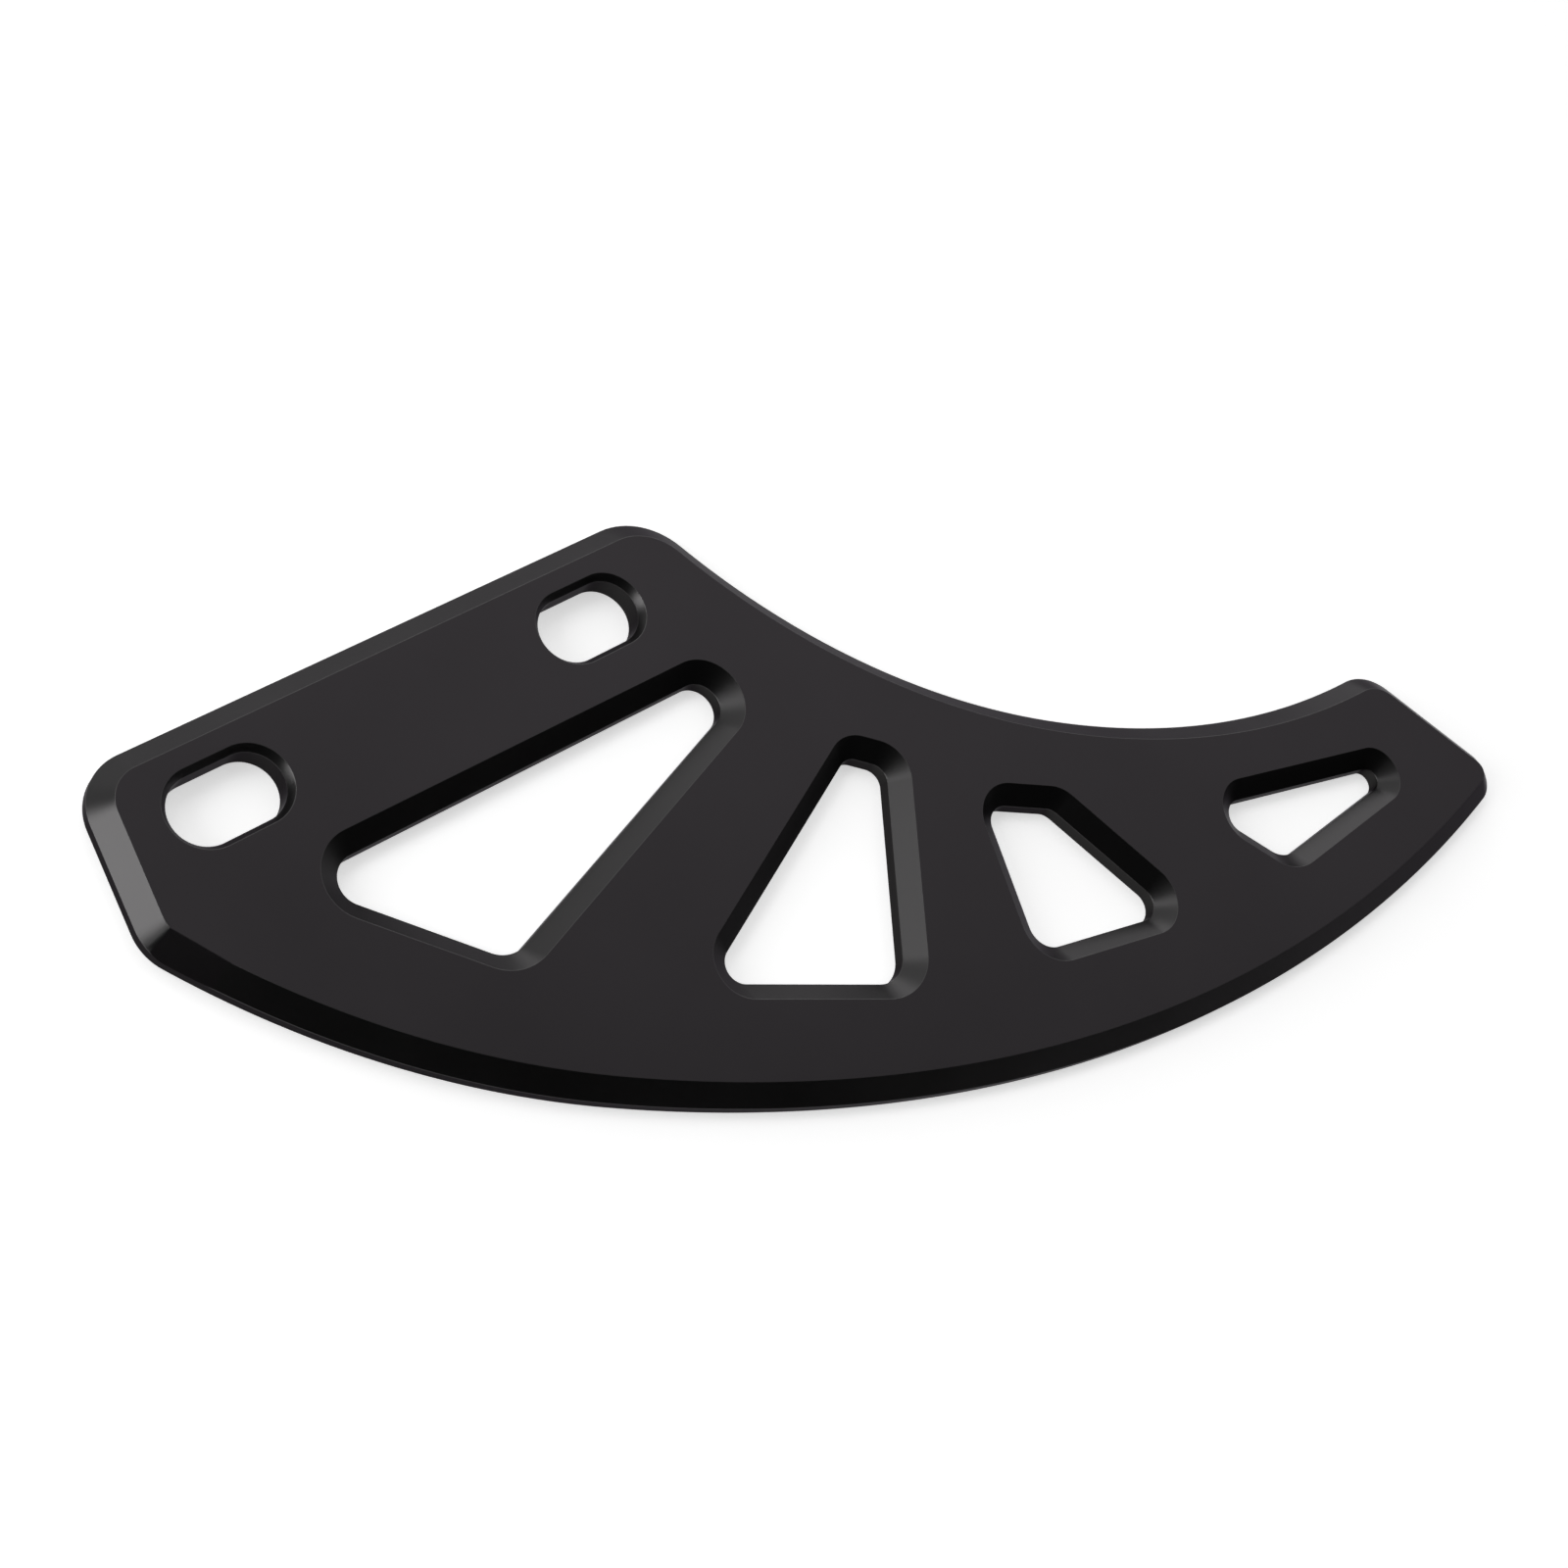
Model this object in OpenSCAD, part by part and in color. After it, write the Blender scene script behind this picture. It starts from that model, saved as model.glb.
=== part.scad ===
/* [Plate] */
// Thickness of the plate
plate_t = 4; // [3:0.1:8]
// Width in plan of the chamfer round the outer edge
edge_bevel_w = 2.6; // [0.5:0.1:4]
// Depth of the chamfer round the outer edge
edge_bevel_h = 2.3; // [0.5:0.1:2.8]

/* [Bolt slots] */
// Distance between the centres of the two slots
slot_spacing = 53; // [46:0.5:60]
// Width of a slot, which is the bolt clearance
slot_w = 8.5; // [6:0.1:9.5]
// Length of a slot from end to end
slot_l = 14.5; // [12:0.5:17]
// Width in plan of the chamfer at a slot
slot_bevel_w = 0.7; // [0.2:0.1:1.5]
// Depth of the chamfer at a slot
slot_bevel_h = 1; // [0.2:0.1:2]

/* [Straight edges] */
// From the slot line to the straight mounting edge
mount_edge = 10; // [8.5:0.1:12]
// From the origin to the left end, along the slot line
left_reach = 41.6; // [40.5:0.1:48]
// Lean of the left end from square to the slot line
left_lean = 9.2; // [0:0.1:14]
// From the origin to the flat of the tip, square to that flat
tip_reach = 99.5; // [94:0.1:106]
// Direction that the flat of the tip faces, from the slot line
tip_facing = 26; // [20:0.5:34]

/* [Outer edge] */
// Lowest point of the outer edge, as if its main arc ran on
outer_low = [109.9, -86.8]; // [-120:0.1:130]
// Radius of the main arc of the outer edge
outer_r = 205.5; // [180:0.1:230]
// Radius of the tighter arc towards the left end
tail_r = 123; // [110:0.1:150]
// Direction of the joint of the two arcs, seen from their centres
tail_from = 235.7; // [228:0.1:240]
// Distance from the origin to the flat across the left end of the outer edge
heel_reach = 40; // [40:0.1:42]
// Direction that this flat faces
heel_facing = 209.6; // [204:0.1:212]

/* [Inner edge] */
// Deepest point of the hollow inner edge
hollow_low = [142.9, -58.2]; // [-80:0.1:160]
// Radius of the hollow towards the tip
hollow_r = 111.7; // [100:0.1:125]
// Radius of the hollow towards the mounting edge
shoulder_r = 95.6; // [85:0.1:99]
// Direction of the joint of the two radii, seen from their centres
shoulder_from = 236.7; // [225:0.1:245]

/* [Rounded corners] */
// Corner between the mounting edge and the left end
left_corner_r = 6.9; // [5:0.1:9]
// Corner between the left end and the outer edge
heel_corner_r = 7.2; // [5:0.1:10]
// Corner between the outer edge and the tip
tip_corner_r = 4.4; // [3:0.1:7]
// Corner between the tip and the hollow
horn_corner_r = 7.9; // [3:0.1:10]
// Corner between the hollow and the mounting edge
shoulder_corner_r = 10; // [5:0.1:12]

/* [Windows] */
// Width in plan of the chamfer round each window
window_bevel_w = 2.5; // [0.5:0.1:2.7]
// Depth of the chamfer round each window
window_bevel_h = 2; // [0.5:0.1:2.8]

/* [First window] */
// Corner by the hollow: x, y and the radius that rounds it
first_inner = [53.4, -12.9, 3]; // [-60:0.1:60]
// Corner at the upper left: x, y and radius
first_left = [-24.4, -11.6, 3.2]; // [-60:0.1:60]
// Corner by the outer edge: x, y and radius
first_outer = [-7.1, -31.1, 4]; // [-60:0.1:60]

/* [Second window] */
// Upper corner on the left: x, y and radius
second_top_left = [49, -30.3, 2.3]; // [-80:0.1:80]
// Lower corner on the left: x, y and radius
second_low_left = [13.2, -45.3, 2.5]; // [-80:0.1:80]
// Lower corner on the right: x, y and radius
second_low_right = [37.3, -58.4, 4]; // [-80:0.1:80]
// Upper corner on the right: x, y and radius
second_top_right = [53.5, -34.1, 2.3]; // [-80:0.1:80]

/* [Third window] */
// Upper corner on the left: x, y and radius
third_top_left = [63.7, -44.8, 2.6]; // [-100:0.1:100]
// Lower corner on the left: x, y and radius
third_low_left = [57.8, -64.6, 3.3]; // [-100:0.1:100]
// Lower corner on the right: x, y and radius
third_low_right = [80.6, -70.4, 2.5]; // [-100:0.1:100]
// Upper corner on the right: x, y and radius
third_top_right = [73, -50.1, 2.6]; // [-100:0.1:100]

/* [Fourth window] */
// Corner towards the third window: x, y and radius
fourth_left = [96.2, -61.4, 2.5]; // [-160:0.1:160]
// Corner by the outer edge: x, y and radius
fourth_outer = [103.6, -73.5, 4.1]; // [-160:0.1:160]
// Corner towards the tip: x, y and radius
fourth_tip = [138.6, -72.9, 1.7]; // [-160:0.1:160]

/* [Hidden] */
$fa = 1;
$fs = 0.4;

// How far a cutter runs past a face, and how far the cutters of the outer corners do.
over = 1;
skim = 0.1;

// How much of the chamfer's depth the cutter of the flat reaches below the chamfer.
under = 0.25;

// Step where a round meets its neighbour, too small to see, so that the two never touch along a line.
nick = 0.005;

// Far enough away to lie outside the plate on every side.
far = 600;

// Chamfers as [width, depth].
edge_bevel = [edge_bevel_w, edge_bevel_h];
window_bevel = [window_bevel_w, window_bevel_h];
slot_bevel = [slot_bevel_w, slot_bevel_h];

// Straight edges as [direction that the edge faces, distance from the origin].
top_line = [90, mount_edge];
left_line = [180 - left_lean, left_reach * cos(left_lean)];
tip_line = [tip_facing, tip_reach];
heel_line = [heel_facing, heel_reach + edge_bevel_w];

// Arcs as [centre, radius]. Each small arc touches the large one from inside.
outer_arc = [outer_low + [0, outer_r], outer_r];
tail_arc = [outer_arc[0] + (outer_r - tail_r) * facing(tail_from), tail_r];
hollow_arc = [hollow_low + [0, hollow_r], hollow_r];
shoulder_arc = [hollow_arc[0] + (hollow_r - shoulder_r) * facing(shoulder_from), shoulder_r];

// Centres of the rounded corners.
left_corner = between_lines(top_line, left_line, left_corner_r);
heel_corner = beside_arc(left_line, tail_arc, heel_corner_r, -1, -1);
tip_corner = beside_arc(tip_line, outer_arc, tip_corner_r, -1, 1);
horn_corner = beside_arc(tip_line, hollow_arc, horn_corner_r, 1, 1);
shoulder_corner = beside_arc(top_line, shoulder_arc, shoulder_corner_r, 1, -1);

// Each rounded corner as [centre, radius, direction to the first and second touch point].
rounded_corners = [
    [left_corner, left_corner_r, 90, left_line[0]],
    [heel_corner, heel_corner_r, left_line[0], towards(tail_arc[0], heel_corner)],
    [tip_corner, tip_corner_r, towards(outer_arc[0], tip_corner) - 360, tip_line[0]],
    [horn_corner, horn_corner_r, tip_line[0], towards(horn_corner, hollow_arc[0])],
    [shoulder_corner, shoulder_corner_r, towards(shoulder_corner, shoulder_arc[0]), 90]
];

first_window = [first_inner, first_left, first_outer];
second_window = [second_top_left, second_low_left, second_low_right, second_top_right];
third_window = [third_top_left, third_low_left, third_low_right, third_top_right];
fourth_window = [fourth_left, fourth_outer, fourth_tip];

function facing(a) = [cos(a), sin(a)];
function heading(v) = atan2(v[1], v[0]);
function flat(p) = [p[0], p[1]];

// Direction from one point to another, from 0 up to 360.
function towards(p, q) = (heading(q - p) + 360) % 360;

// Foot of a point on an edge line.
function foot(p, edge) = p + (edge[1] - p * facing(edge[0])) * facing(edge[0]);

// Edge line through two points, which faces to the right of travel.
function line_through(p, q) =
    let (a = heading(q - p) - 90)
    [a, p * facing(a)];

// Centre of a circle of radius r that touches two edge lines from inside.
function between_lines(a, b, r) =
    let (na = facing(a[0]), nb = facing(b[0]), da = a[1] - r, db = b[1] - r,
         det = na[0] * nb[1] - na[1] * nb[0])
    [(da * nb[1] - db * na[1]) / det, (na[0] * db - nb[0] * da) / det];

// Centre of a circle of radius r that touches an edge line from inside and an arc. The circle is
// inside the arc for side -1 and outside it for side 1, and lies to the left of the direction that
// the edge faces for way 1, or to the right for way -1.
function beside_arc(edge, arc, r, side, way) =
    let (n = facing(edge[0]), reach = arc[1] + side * r, h = edge[1] - r - n * arc[0],
         along = sqrt(reach * reach - h * h))
    arc[0] + h * n - way * along * [-n[1], n[0]];

// Section through an edge, from the base line at d out to the depth given by fill. The chamfer
// widens the shape upwards for slope 1 and narrows it for slope -1.
function edge_section(d, fill, slope, bevel, past) =
    let (rise = (bevel[1] + past) / bevel[1])
    [[fill, -past], [d, -past], [d, plate_t - bevel[1]],
     [d + slope * rise * bevel[0], plate_t + past], [fill, plate_t + past]];

// All that is on the inner side of a straight edge with its chamfer.
module straight_side(edge, slope, bevel) {
    rotate([0, 0, edge[0]])
    translate([0, far / 2, 0])
    rotate([90, 0, 0])
    linear_extrude(far)
    polygon(edge_section(edge[1], -far, slope, bevel, over));
}

// Disc of an arc with its chamfer.
module arc_side(arc, slope, bevel) {
    translate([arc[0][0], arc[0][1], 0])
    rotate_extrude()
    polygon(edge_section(arc[1], 0, slope, bevel, over));
}

// What lies outside a round corner of radius r, from direction a to b, out to the reach.
module beyond_corner(c, r, a, b, reach, slope, bevel, past) {
    translate([c[0], c[1], 0])
    rotate([0, 0, a])
    rotate_extrude(angle = b - a)
    polygon(edge_section(r, reach, slope, bevel, past));
}

// Cutter for one window with its chamfer. Points run anticlockwise, as [x, y, corner radius].
module window(pts) {
    count = len(pts);
    edges = [for (i = [0 : count - 1]) line_through(flat(pts[i]), flat(pts[(i + 1) % count]))];
    difference() {
        intersection_for(edge = edges) straight_side(edge, 1, window_bevel);
        for (i = [0 : count - 1]) {
            before = edges[(i + count - 1) % count];
            turn = (edges[i][0] - before[0] + 720) % 360;
            r = pts[i][2];
            reach = (r + 2 * window_bevel_w) / cos(turn / 2);
            c = between_lines(before, edges[i], r);
            beyond_corner(c, r - nick, before[0], before[0] + turn, reach, 1, window_bevel, 2 * over);
        }
    }
}

// Cutter for one bolt slot along X, with its chamfer.
module slot() {
    r = slot_w / 2;
    half = slot_l / 2 - r;
    for (s = [-1, 1]) {
        translate([s * half, 0, 0])
        rotate([0, 0, -s * 90])
        rotate_extrude(angle = 180)
        polygon(edge_section(r, 0, 1, slot_bevel, over));
    }
    rotate([90, 0, 90])
    translate([0, 0, -half])
    linear_extrude(2 * half)
    intersection() {
        polygon(edge_section(r, -far, 1, slot_bevel, over));
        mirror([1, 0]) polygon(edge_section(r, -far, 1, slot_bevel, over));
    }
}

// Cutter for the hollow inner edge, with the tighter shoulder in its place past their joint.
module hollow() {
    difference() {
        arc_side(hollow_arc, 1, edge_bevel);
        beyond_corner(shoulder_arc[0], shoulder_r - nick, 90, shoulder_from, hollow_r + far / 4, 1,
                      edge_bevel, 2 * over);
    }
}

// The plate with sharp corners, and with the outer arc run on over the tail.
module sharp_plate() {
    difference() {
        intersection() {
            linear_extrude(plate_t) square(2 * far, center = true);
            arc_side(outer_arc, -1, edge_bevel);
            straight_side(top_line, -1, edge_bevel);
            straight_side(left_line, -1, edge_bevel);
            straight_side(tip_line, -1, edge_bevel);
        }
        hollow();
    }
}

// Flat across the heel, with the slope of the chamfer and run out on the wall below it.
module heel_flat() {
    rise = (edge_bevel_h + over) / edge_bevel_h;
    middle = foot(heel_corner, heel_line);
    translate([middle[0], middle[1], plate_t - edge_bevel_h])
    rotate([0, 0, heel_facing])
    translate([0, heel_corner_r, 0])
    rotate([90, 0, 0])
    linear_extrude(2 * heel_corner_r)
    polygon([[under * edge_bevel_w, -under * edge_bevel_h], [-rise * edge_bevel_w, rise * edge_bevel_h],
             [under * edge_bevel_w, rise * edge_bevel_h]]);
}

module guard_plate() {
    color([0.13, 0.125, 0.13])
    difference() {
        sharp_plate();
        beyond_corner(tail_arc[0], tail_r - nick, 180, tail_from, tail_r + far / 4, -1, edge_bevel, skim);
        for (k = rounded_corners) {
            reach = (k[1] + 2 * edge_bevel_w) / cos((k[3] - k[2]) / 2);
            beyond_corner(k[0], k[1] - 2 * nick, k[2], k[3], reach, -1, edge_bevel, skim);
        }
        heel_flat();
        for (w = [first_window, second_window, third_window, fourth_window]) window(w);
        for (s = [-1, 1]) translate([s * slot_spacing / 2, 0, 0]) slot();
    }
}

guard_plate();
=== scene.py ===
import bpy
import bmesh
import math
from mathutils import Matrix, Vector


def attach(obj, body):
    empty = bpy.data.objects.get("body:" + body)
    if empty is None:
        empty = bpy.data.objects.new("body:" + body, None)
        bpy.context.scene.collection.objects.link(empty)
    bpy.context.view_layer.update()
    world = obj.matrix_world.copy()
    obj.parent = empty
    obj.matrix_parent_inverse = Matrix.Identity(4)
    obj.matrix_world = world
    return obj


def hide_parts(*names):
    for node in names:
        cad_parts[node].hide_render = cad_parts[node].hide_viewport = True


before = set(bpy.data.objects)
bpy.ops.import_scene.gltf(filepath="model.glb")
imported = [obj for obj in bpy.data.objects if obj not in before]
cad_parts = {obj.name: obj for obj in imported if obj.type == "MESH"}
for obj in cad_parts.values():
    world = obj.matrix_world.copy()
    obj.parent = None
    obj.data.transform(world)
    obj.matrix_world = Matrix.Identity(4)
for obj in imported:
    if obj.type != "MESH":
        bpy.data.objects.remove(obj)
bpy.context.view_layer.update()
mm = 0.001

# the plate in millimetres, with the sizes of the CAD model; an edge is the direction it faces, in degrees,
# and its distance from the origin, and an arc is its centre and radius
plate = {
    "thick": 4.0,
    "edgeBevel": (2.6, 2.3),                         # width, depth
    "windowBevel": (2.5, 2.0),
    "slotBevel": (0.7, 1.0),
    "slotSpacing": 53.0,
    "slotWidth": 8.5,
    "slotLength": 14.5,
    "topEdge": (90.0, 10.0),
    "leftEdge": (180.0 - 9.2, 41.6 * math.cos(math.radians(9.2))),
    "tipEdge": (26.0, 99.5),
    "heelFlat": (209.6, 40.0),
    "outerArc": (109.9, -86.8 + 205.5, 205.5),
    "tailRadius": 123.0,
    "tailFrom": 235.7,                               # direction of the joint with the outer arc
    "hollowArc": (142.9, -58.2 + 111.7, 111.7),
    "shoulderRadius": 95.6,
    "shoulderFrom": 236.7,                           # direction of the joint with the hollow
    "leftCorner": 6.9,
    "heelCorner": 7.2,
    "tipCorner": 4.4,
    "hornCorner": 7.9,
    "shoulderCorner": 10.0,
    "windows": (                                     # x, y and radius of each corner
        ((53.4, -12.9, 3.0), (-24.4, -11.6, 3.2), (-7.1, -31.1, 4.0)),
        ((49.0, -30.3, 2.3), (13.2, -45.3, 2.5), (37.3, -58.4, 4.0), (53.5, -34.1, 2.3)),
        ((63.7, -44.8, 2.6), (57.8, -64.6, 3.3), (80.6, -70.4, 2.5), (73.0, -50.1, 2.6)),
        ((96.2, -61.4, 2.5), (103.6, -73.5, 4.1), (138.6, -72.9, 1.7)),
    ),
    "edgeBreak": 0.12,                               # radius of the tiny round on every sharp edge
    "breakSteps": 3,
    "arcStep": 0.8,                                  # longest piece of an arc
    "turnStep": 5.0,                                 # most degrees in one piece of an arc
    "heelBreak": 0.02,                               # depth of the break along the flat of the heel
    "flatReach": 9.0,                                # how far in the flat faces start, wider than any bevel
    "samePlace": 0.01,                               # points nearer than this are one
    "cutMargin": 0.0001,                             # points nearer than this lie on the cut
    "smoothBelow": 19.0,                             # degrees between two faces
}


def facing(degrees):
    return Vector((math.cos(math.radians(degrees)), math.sin(math.radians(degrees))))


def heading(v):
    return math.degrees(math.atan2(v.y, v.x))


def towards(p, q):
    return heading(q - p) % 360


def cornerOfLines(a, b, r):
    na, nb, da, db = facing(a[0]), facing(b[0]), a[1] - r, b[1] - r
    det = na.x * nb.y - na.y * nb.x
    return Vector(((da * nb.y - db * na.y) / det, (na.x * db - nb.x * da) / det))


def cornerBesideArc(edge, arc, r, side, way):
    n, c = facing(edge[0]), Vector(arc[:2])
    reach = arc[2] + side * r
    h = edge[1] - r - n.dot(c)
    return c + h * n - way * math.sqrt(reach * reach - h * h) * Vector((-n.y, n.x))


# each arc: centre, radius, first and last direction, and 1 or -1 for metal inside or outside the arc
def outlineArcs(p):
    big, hollow = p["outerArc"], p["hollowArc"]
    tailCentre = Vector(big[:2]) + (big[2] - p["tailRadius"]) * facing(p["tailFrom"])
    shoulderCentre = Vector(hollow[:2]) + (hollow[2] - p["shoulderRadius"]) * facing(p["shoulderFrom"])
    tail = (*tailCentre, p["tailRadius"])
    shoulder = (*shoulderCentre, p["shoulderRadius"])
    left = cornerOfLines(p["topEdge"], p["leftEdge"], p["leftCorner"])
    heel = cornerBesideArc(p["leftEdge"], tail, p["heelCorner"], -1, -1)
    tip = cornerBesideArc(p["tipEdge"], big, p["tipCorner"], -1, 1)
    horn = cornerBesideArc(p["tipEdge"], hollow, p["hornCorner"], 1, 1)
    neck = cornerBesideArc(p["topEdge"], shoulder, p["shoulderCorner"], 1, -1)
    bigCentre, hollowCentre = Vector(big[:2]), Vector(hollow[:2])
    tailAt, tipAt = towards(tailCentre, heel), towards(bigCentre, tip)
    hornAt, neckAt = towards(hollowCentre, horn), towards(shoulderCentre, neck)
    return [
        (left, p["leftCorner"], 90, p["leftEdge"][0], 1),
        (heel, p["heelCorner"], p["leftEdge"][0], tailAt, 1),
        (tailCentre, p["tailRadius"], tailAt, p["tailFrom"], 1),
        (bigCentre, big[2], p["tailFrom"], tipAt, 1),
        (tip, p["tipCorner"], tipAt - 360, p["tipEdge"][0], 1),
        (horn, p["hornCorner"], p["tipEdge"][0], hornAt - 180, 1),
        (hollowCentre, hollow[2], hornAt, p["shoulderFrom"], -1),
        (shoulderCentre, p["shoulderRadius"], p["shoulderFrom"], neckAt, -1),
        (neck, p["shoulderCorner"], neckAt - 180, 90, 1),
    ]


def windowArcs(corners):
    arcs, count = [], len(corners)
    for i, (x, y, r) in enumerate(corners):
        at = Vector((x, y))
        back = (Vector(corners[i - 1][:2]) - at).normalized()
        ahead = (Vector(corners[(i + 1) % count][:2]) - at).normalized()
        half = back.angle(ahead) / 2
        start = heading(Vector((-back.y, back.x)))
        arcs.append((at + (back + ahead).normalized() * r / math.sin(half), r,
                     start, start + 180 - math.degrees(2 * half), -1))
    return arcs


def slotArcs(x, p):
    r = p["slotWidth"] / 2
    reach = p["slotLength"] / 2 - r
    return [(Vector((x + reach, 0)), r, -90, 90, -1), (Vector((x - reach, 0)), r, 90, 270, -1)]


# section of an edge: distance into the metal, height
def brokenProfile(bevel, p):
    t, r, steps = p["thick"], p["edgeBreak"], p["breakSteps"]
    flat = p["flatReach"]
    path = [Vector(v) for v in ((flat, 0), (0, 0), (0, t - bevel[1]), (bevel[0], t), (flat, t))]
    out = []
    for before, at, after in zip(path, path[1:], path[2:]):
        a, b = (before - at).normalized(), (after - at).normalized()
        half = a.angle(b) / 2
        centre = at + (a + b).normalized() * r / math.sin(half)
        p0, p1 = at + a * r / math.tan(half) - centre, at + b * r / math.tan(half) - centre
        out += [centre + p0.lerp(p1, k / steps).normalized() * r for k in range(steps + 1)]
    return out


# a closed ring of spun arcs, with the way out of the metal at each point
def drawLoop(bm, arcs, p):
    ring, outward = [], []
    for centre, r, a0, a1, side in arcs:
        start = (centre + r * facing(a0)).to_3d()
        turn = abs(a1 - a0)
        steps = max(math.ceil(math.radians(turn) * r / p["arcStep"]), math.ceil(turn / p["turnStep"]))
        if ring and (ring[-1].co - start).length < p["samePlace"]:
            first = ring.pop()
            outward.pop()
        else:
            first = bm.verts.new(start)
            if ring:
                bm.edges.new((ring[-1], first))
        before = len(bm.verts)
        bmesh.ops.spin(bm, geom=[first], cent=centre.to_3d(), axis=(0, 0, 1),
                       angle=math.radians(a1 - a0), steps=steps, use_duplicate=False)
        bm.verts.ensure_lookup_table()
        run = [first] + bm.verts[before:]
        ring += run
        outward += [(side * (v.co - centre.to_3d()).normalized()) for v in run]
    bm.edges.new((ring[-1], ring[0]))
    return ring, outward


# carries the ring along the section; each face records whether it is a broken edge, a bevel or a wall
def sweepProfile(bm, ring, outward, profile, surface, p):
    base = [v.co.copy() for v in ring]

    def place(i, point):
        return base[i] - outward[i] * point[0] + Vector((0, 0, point[1]))

    for i, v in enumerate(ring):
        v.co = place(i, profile[0])
    edges = [bm.edges.get((ring[i - 1], v)) for i, v in enumerate(ring)]
    firstEdges, index = list(edges), {v: i for i, v in enumerate(ring)}
    for k, point in enumerate(profile[1:], 1):
        made = bmesh.ops.extrude_edge_only(bm, edges=edges)["geom"]
        fresh = {v for v in made if isinstance(v, bmesh.types.BMVert)}
        nextIndex = {}
        for v in fresh:
            old = next(e.other_vert(v) for e in v.link_edges if e.other_vert(v) in index)
            nextIndex[v] = index[old]
        for v, i in nextIndex.items():
            v.co = place(i, point)
        stretch, isEdge = divmod(k, p["breakSteps"] + 1)
        kind = (1, 0, 0) if isEdge else (0, stretch == 2, stretch == 1)
        for f in made:
            if isinstance(f, bmesh.types.BMFace):
                f[surface] = kind
        edges = [e for e in made if isinstance(e, bmesh.types.BMEdge) and all(v in fresh for v in e.verts)]
        index = nextIndex
    return firstEdges, edges


def buildPlate(p):
    bm = bmesh.new()
    surface = bm.faces.layers.float_vector.new("surface")
    loops = [(outlineArcs(p), "edgeBevel")]
    loops += [(windowArcs(w), "windowBevel") for w in p["windows"]]
    loops += [(slotArcs(s * p["slotSpacing"] / 2, p), "slotBevel") for s in (-1, 1)]
    backEdges, topEdges = [], []
    for arcs, bevel in loops:
        ring, outward = drawLoop(bm, arcs, p)
        first, last = sweepProfile(bm, ring, outward, brokenProfile(p[bevel], p), surface, p)
        backEdges += first
        topEdges += last
    bmesh.ops.triangle_fill(bm, use_beauty=True, edges=backEdges)
    bmesh.ops.triangle_fill(bm, use_beauty=True, edges=topEdges)

    # the flat of the heel, then a narrow break where it meets the front face
    way, reach = facing(p["heelFlat"][0]), p["heelFlat"][1]
    slope = math.atan2(p["edgeBevel"][1], p["edgeBevel"][0])
    at = (way * reach).to_3d() + Vector((0, 0, p["thick"]))
    for tilt, sink in ((slope, 0.0), (slope / 2, p["heelBreak"])):
        normal = (way * math.sin(tilt)).to_3d() + Vector((0, 0, math.cos(tilt)))
        bmesh.ops.bisect_plane(bm, geom=bm.verts[:] + bm.edges[:] + bm.faces[:], dist=p["cutMargin"],
                               plane_co=at - normal * sink, plane_no=normal, clear_outer=True)
        rimEdges = [e for e in bm.edges if e.is_boundary]
        bmesh.ops.contextual_create(bm, geom=rimEdges)

    bmesh.ops.recalc_face_normals(bm, faces=bm.faces)
    print("open edges:", sum(not e.is_manifold for e in bm.edges), "faces:", len(bm.faces))
    print("volume:", round(bm.calc_volume(), 1))
    for e in bm.edges:
        e.smooth = e.is_manifold and e.calc_face_angle() < math.radians(p["smoothBelow"])
    for f in bm.faces:
        f.smooth = True
    bmesh.ops.scale(bm, vec=(mm, mm, mm), verts=bm.verts)
    mesh = bpy.data.meshes.new("chainGuardPlate")
    bm.to_mesh(mesh)
    bm.free()
    piece = bpy.data.objects.new("chainGuardPlate", mesh)
    bpy.context.scene.collection.objects.link(piece)
    even = piece.modifiers.new("evenNormals", "WEIGHTED_NORMAL")
    even.keep_sharp = True
    return piece


# black anodised finish
finish = {
    "faceBlack": (0.0485, 0.0445, 0.0480, 1),        # on the two flat faces
    "bevelBlack": (0.0475, 0.0465, 0.0470, 1),
    "wallPaintedShade": (0.0290, 0.0285, 0.0280, 1),        # painted shade: a darker colour on the walls, for the darker floor they reflect near their foot
    "grazing": (0.42, 0.41, 0.425, 1),
    "roughness": 0.33,
    "roughnessSwing": 0.02,
    "wallRoughness": 0.06,                           # how much rougher the walls are
    "colourSwing": 0.05,
    "noiseRange": (0.3, 0.7),                        # where most of the noise lies
    "cloudSize": 0.02,                               # metres
    "cloudDetail": 4,
    "grainSize": 0.00025,
    "grainDetail": 2,
    "grainDepth": 0.0000030,
    "edgeHighlightLift": 1.6,                                 # painted highlight: a lighter colour on the broken edges, for the light they catch
}


def addNode(tree, kind, values):
    node = tree.nodes.new(kind)
    for key, value in values.items():
        if isinstance(key, str) and hasattr(node, key):
            setattr(node, key, value)
        else:
            node.inputs[key].default_value = value
    return node


def noise(tree, where, size, detail):
    node = addNode(tree, "ShaderNodeTexNoise", {"Scale": 1 / size, "Detail": detail})
    tree.links.new(where.outputs["Object"], node.inputs["Vector"])
    return node.outputs["Fac"]


def mapRange(tree, value, fromRange, toRange):
    node = addNode(tree, "ShaderNodeMapRange", {"From Min": fromRange[0], "From Max": fromRange[1],
                                                "To Min": toRange[0], "To Max": toRange[1]})
    tree.links.new(value, node.inputs["Value"])
    return node.outputs["Result"]


def larger(tree, first, second):
    node = addNode(tree, "ShaderNodeMath", {"operation": "MAXIMUM"})
    tree.links.new(first, node.inputs[0])
    tree.links.new(second, node.inputs[1])
    return node.outputs[0]


# each colour is a fixed one or another node's output
def blend(tree, factor, first, second):
    node = addNode(tree, "ShaderNodeMix", {"data_type": "RGBA"})
    tree.links.new(factor, node.inputs[0])
    for value, socket in ((first, node.inputs[6]), (second, node.inputs[7])):
        if isinstance(value, tuple):
            socket.default_value = value
        else:
            tree.links.new(value, socket)
    return node.outputs[2]


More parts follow.
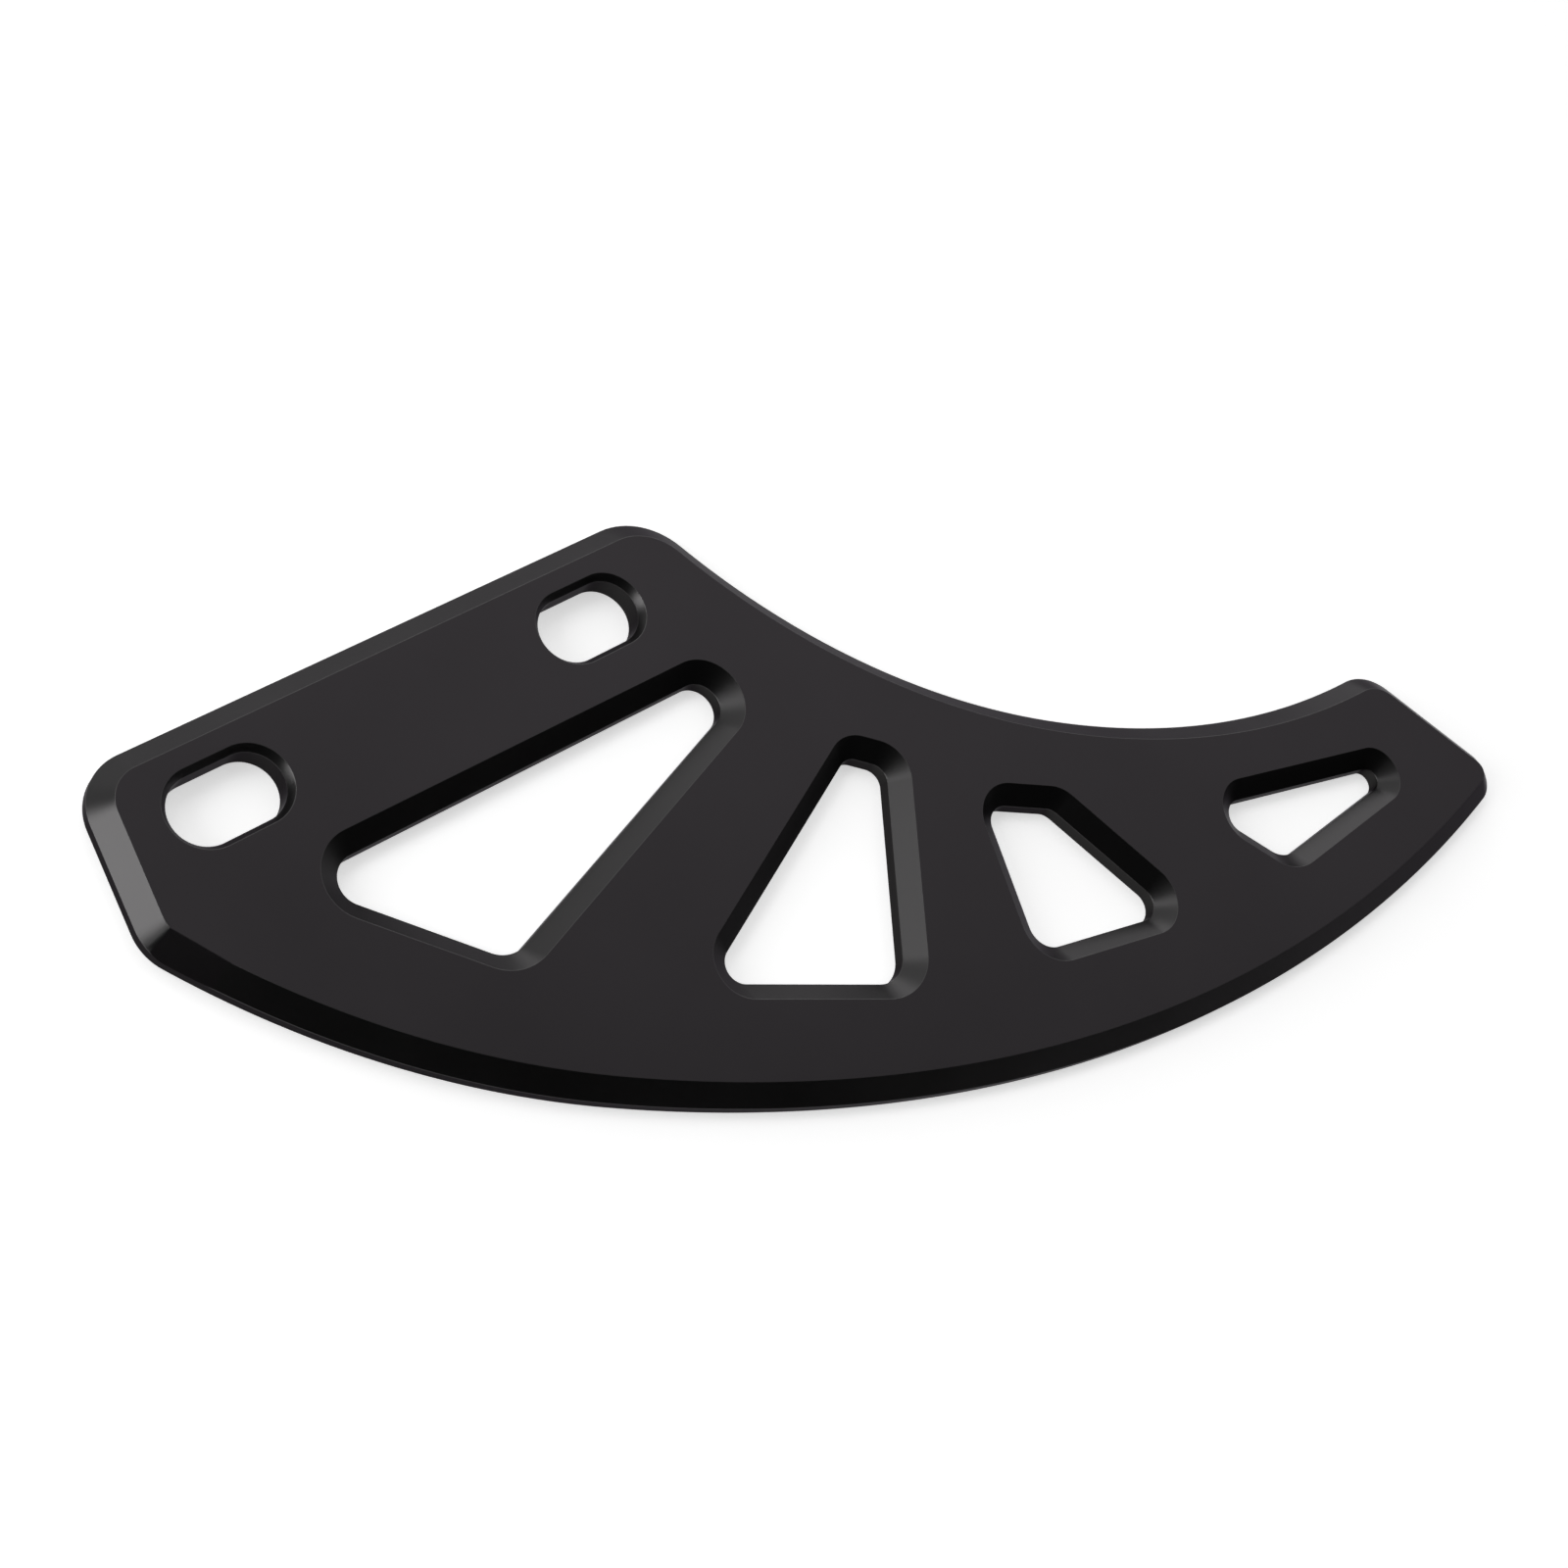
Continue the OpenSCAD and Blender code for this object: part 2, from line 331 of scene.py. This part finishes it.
def anodisedBlack(f):
    mat = bpy.data.materials.new("anodisedBlack")
    mat.use_nodes = True
    tree = mat.node_tree
    links = tree.links
    shader = tree.nodes["Principled BSDF"]
    shader.inputs["Metallic"].default_value = 1.0
    shader.inputs["Specular Tint"].default_value = f["grazing"]
    where = tree.nodes.new("ShaderNodeTexCoord")
    cloud = noise(tree, where, f["cloudSize"], f["cloudDetail"])
    grain = noise(tree, where, f["grainSize"], f["grainDetail"])

    def swing(middle, reach):
        return mapRange(tree, cloud, f["noiseRange"], (middle - reach, middle + reach))

    surface = addNode(tree, "ShaderNodeAttribute", {"attribute_name": "surface"})
    kinds = tree.nodes.new("ShaderNodeSeparateXYZ")
    links.new(surface.outputs["Vector"], kinds.inputs[0])
    isEdge, isBevel, isWall = kinds.outputs

    filmAndPaintedLight = blend(tree, isBevel, f["faceBlack"], f["bevelBlack"])
    # painted shade: the walls take the darker wall colour
    filmAndPaintedLight = blend(tree, isWall, filmAndPaintedLight, f["wallPaintedShade"])
    # painted highlight: the broken edges take a lighter colour
    filmAndPaintedLight = blend(tree, isEdge, filmAndPaintedLight, tuple(c * f["edgeHighlightLift"] for c in f["bevelBlack"][:3]) + (1,))
    shade = addNode(tree, "ShaderNodeVectorMath", {"operation": "SCALE"})
    links.new(filmAndPaintedLight, shade.inputs[0])
    links.new(swing(1.0, f["colourSwing"]), shade.inputs["Scale"])
    links.new(shade.outputs[0], shader.inputs["Base Color"])

    rough = addNode(tree, "ShaderNodeMath", {"operation": "MULTIPLY_ADD", 1: f["wallRoughness"]})
    links.new(isWall, rough.inputs[0])
    links.new(swing(f["roughness"], f["roughnessSwing"]), rough.inputs[2])
    links.new(rough.outputs[0], shader.inputs["Roughness"])

    bump = addNode(tree, "ShaderNodeBump", {"Distance": f["grainDepth"], "Strength": 1.0})
    links.new(grain, bump.inputs["Height"])
    links.new(bump.outputs["Normal"], shader.inputs["Normal"])
    return mat


plateObject = buildPlate(plate)
plateObject.data.materials.append(anodisedBlack(finish))
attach(plateObject, "root")
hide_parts("guard_plate")
print("plate made")

# stage, in metres
stage = {
    "floorSize": 40.0,
    "floorMiddle": (0.05, -0.04),
    "floorDrop": 0.00003,                            # keeps the floor clear of the back face
    "floorColour": (0.86, 0.86, 0.86, 1),
    "floorGlow": 0.55,
    "roomAxis": (0.657, 0.754, 0.0),                 # the way the room gets lighter
    "roomRange": (0.045, 0.53),                      # where it does, along that axis
    "roomLevels": (0.03, 0.85),
    "screenRange": (0.055, 0.075),                   # where a low grey screen ends, as a sine of the height
    "screenLevel": 0.35,
}


def floorMaterial(s):
    mat = bpy.data.materials.new("paleFloor")
    mat.use_nodes = True
    tree = mat.node_tree
    links = tree.links
    tree.nodes.remove(tree.nodes["Principled BSDF"])
    paper = addNode(tree, "ShaderNodeBsdfDiffuse", {"Color": s["floorColour"]})

    # the camera and reflections see the floor brighter than its light on the plate
    rays = tree.nodes.new("ShaderNodeLightPath").outputs
    seen = larger(tree, rays["Is Camera Ray"], rays["Is Glossy Ray"])
    seen = larger(tree, seen, rays["Is Transmission Ray"])
    level = addNode(tree, "ShaderNodeMath", {"operation": "MULTIPLY", 1: s["floorGlow"]})
    links.new(seen, level.inputs[0])
    glow = tree.nodes.new("ShaderNodeEmission")
    links.new(level.outputs[0], glow.inputs["Strength"])
    both = tree.nodes.new("ShaderNodeAddShader")
    links.new(paper.outputs[0], both.inputs[0])
    links.new(glow.outputs[0], both.inputs[1])
    links.new(both.outputs[0], tree.nodes["Material Output"].inputs["Surface"])
    return mat


def makeFloor(s):
    bm = bmesh.new()
    bmesh.ops.create_grid(bm, x_segments=1, y_segments=1, size=s["floorSize"] / 2)
    bmesh.ops.translate(bm, vec=(*s["floorMiddle"], -s["floorDrop"]), verts=bm.verts)
    mesh = bpy.data.meshes.new("floor")
    bm.to_mesh(mesh)
    bm.free()
    floor = bpy.data.objects.new("floor", mesh)
    bpy.context.scene.collection.objects.link(floor)
    mesh.materials.append(floorMaterial(s))


# a room that gets lighter one way, with a low screen all round
def makeWorld(s):
    world = bpy.data.worlds.new("studio")
    bpy.context.scene.world = world
    world.use_nodes = True
    tree = world.node_tree
    links = tree.links
    back = tree.nodes["Background"]
    back.inputs["Color"].default_value = (1, 1, 1, 1)
    sight = tree.nodes.new("ShaderNodeTexCoord").outputs["Generated"]
    axis = Vector(s["roomAxis"]).normalized()
    along = addNode(tree, "ShaderNodeVectorMath", {"operation": "DOT_PRODUCT", 1: axis})
    links.new(sight, along.inputs[0])
    height = tree.nodes.new("ShaderNodeSeparateXYZ")
    links.new(sight, height.inputs[0])
    room = mapRange(tree, along.outputs["Value"], s["roomRange"], s["roomLevels"])
    screen = mapRange(tree, height.outputs["Z"], s["screenRange"], (s["screenLevel"], 0.0))
    links.new(larger(tree, room, screen), back.inputs["Strength"])


# soft boxes, in metres and watts
lamps = {
    "leftBox": {"at": (-0.78, 0.33, 0.40), "to": (-0.03, 0.0, 0.0), "size": (0.5, 0.5), "power": 4.2},
    "topBox": {"at": (-0.32, 0.50, 0.68), "to": (0.03, -0.03, 0.0), "size": (0.35, 0.35), "power": 0.96},
    "farStrip": {"at": (1.0, 0.85, 0.26), "to": (0.08, -0.05, 0.0), "size": (1.3, 0.35), "power": 2.8},
    "overhead": {"at": (-0.1, -0.05, 1.2), "to": (0.05, -0.04, 0.0), "size": (0.5, 0.5), "power": 0.6},
}


def makeLamp(name, l):
    data = bpy.data.lights.new(name, "AREA")
    data.shape = "RECTANGLE"
    data.size, data.size_y = l["size"]
    data.energy = l["power"]
    lamp = bpy.data.objects.new(name, data)
    bpy.context.scene.collection.objects.link(lamp)
    lamp.location = l["at"]
    lamp.rotation_euler = (Vector(l["to"]) - Vector(l["at"])).to_track_quat("-Z", "Y").to_euler()


# the photo's camera: its place, its own axes, and its lens and sensor in millimetres
camera = {
    "at": (-0.1382, -0.0514, 0.2457),
    "right": (0.7013, -0.5454, 0.4591),
    "up": (0.4067, 0.835, 0.3707),
    "back": (-0.5855, -0.0733, 0.8073),
    "lens": 55.4535,
    "sensor": 36.0,
    "clipFrom": 0.01,
}


def makeCamera(c):
    data = bpy.data.cameras.new("photoCamera")
    data.sensor_width = c["sensor"]
    data.lens = c["lens"]
    data.clip_start = c["clipFrom"]
    cam = bpy.data.objects.new("photoCamera", data)
    bpy.context.scene.collection.objects.link(cam)
    turn = Matrix((c["right"], c["up"], c["back"])).transposed()
    cam.matrix_world = Matrix.Translation(c["at"]) @ turn.to_4x4()
    bpy.context.scene.camera = cam


makeFloor(stage)
makeWorld(stage)
for lampName, lamp in lamps.items():
    makeLamp(lampName, lamp)
makeCamera(camera)
bpy.context.scene.view_settings.view_transform = "Standard"
print("stage made")
